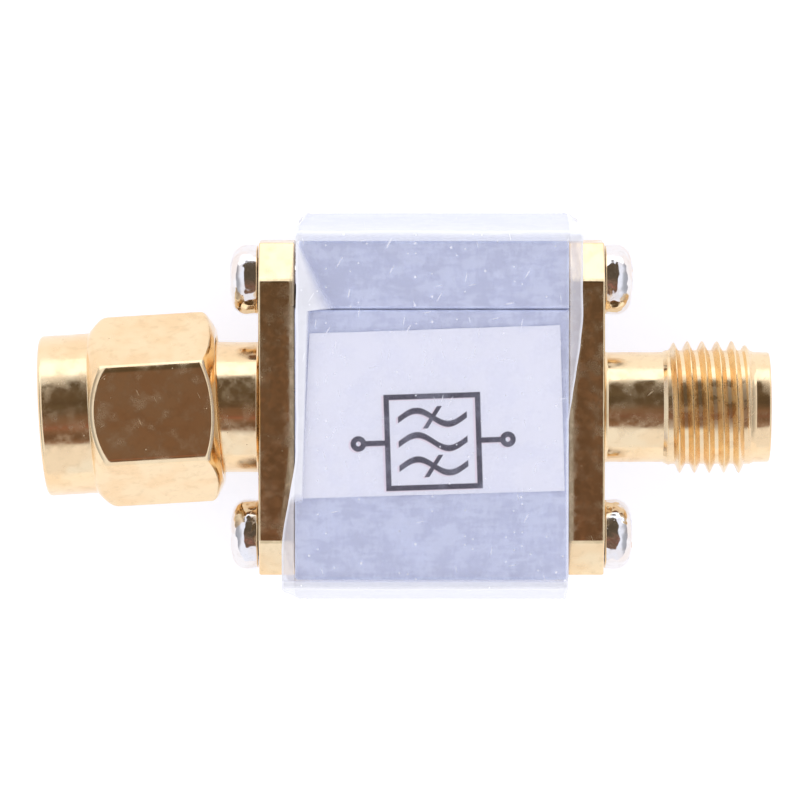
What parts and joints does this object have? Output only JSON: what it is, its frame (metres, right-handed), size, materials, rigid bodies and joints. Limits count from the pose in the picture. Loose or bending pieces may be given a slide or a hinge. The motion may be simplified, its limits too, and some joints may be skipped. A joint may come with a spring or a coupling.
{
  "type": "surface acoustic wave filter module",
  "caption": "Inline radio-frequency filter module: metal housing in a clear film sleeve with a paper label, a coaxial plug with a loose coupling nut at one end and a coaxial jack at the other.",
  "frame": {"origin": "on the resting face (the back of the film sleeve), under the middle of the housing and under the connectors' axis", "axes": "+X along the connectors' axis towards the jack, +Y towards the housing's cover, +Z out of the labelled face"},
  "size_m": [0.0349, 0.0186, 0.0108],
  "materials": {
    "gold_plate": "gold plated, polished",
    "nickel_plate": "bright nickel",
    "bare_aluminium": "milled, scuffed",
    "clear_film": "clear shrink film",
    "label_paper": "matte paper",
    "white_bead": "white fluoropolymer",
    "spring_bronze": "spring bronze",
    "red_silicone": "silicone",
    "green_laminate": "glass laminate with solder mask",
    "solder": "tin solder",
    "ceramic": "fired ceramic",
    "crystal": "polished crystal",
    "ferrite": "fired ferrite",
    "titanate": "fired titanate"
  },
  "bodies": {
    "module": {"housing_base": "bare_aluminium", "housing_cover": "bare_aluminium", "shrink_sleeve": "clear_film", "paper_label": "label_paper", "plug_body": "gold_plate", "plug_dielectric": "white_bead", "plug_pin": "gold_plate", "nut_snap_ring": "spring_bronze", "nut_gasket": "red_silicone", "jack_body": "gold_plate", "jack_dielectric": "white_bead", "jack_contact": "gold_plate", "plug_screw_upper": "nickel_plate", "plug_screw_lower": "nickel_plate", "jack_screw_upper": "nickel_plate", "jack_screw_lower": "nickel_plate", "filter_board": "green_laminate", "solder_joint_plug": "solder", "solder_joint_jack": "solder", "saw_package": "ceramic", "saw_chip": "crystal", "saw_lid": "gold_plate", "matching_inductor_in": "ferrite", "matching_inductor_out": "ferrite", "matching_capacitor_in": "titanate", "matching_capacitor_out": "titanate"},
    "nut": {"coupling_nut": "gold_plate"}
  },
  "joints": [
    {"name": "nut_spin", "type": "hinge", "parent": "module", "child": "nut", "pos_m": [-0.01122, 0, 0.0054], "axis": [-0.998, -0.061, -0.0192], "continuous": true}
  ]
}
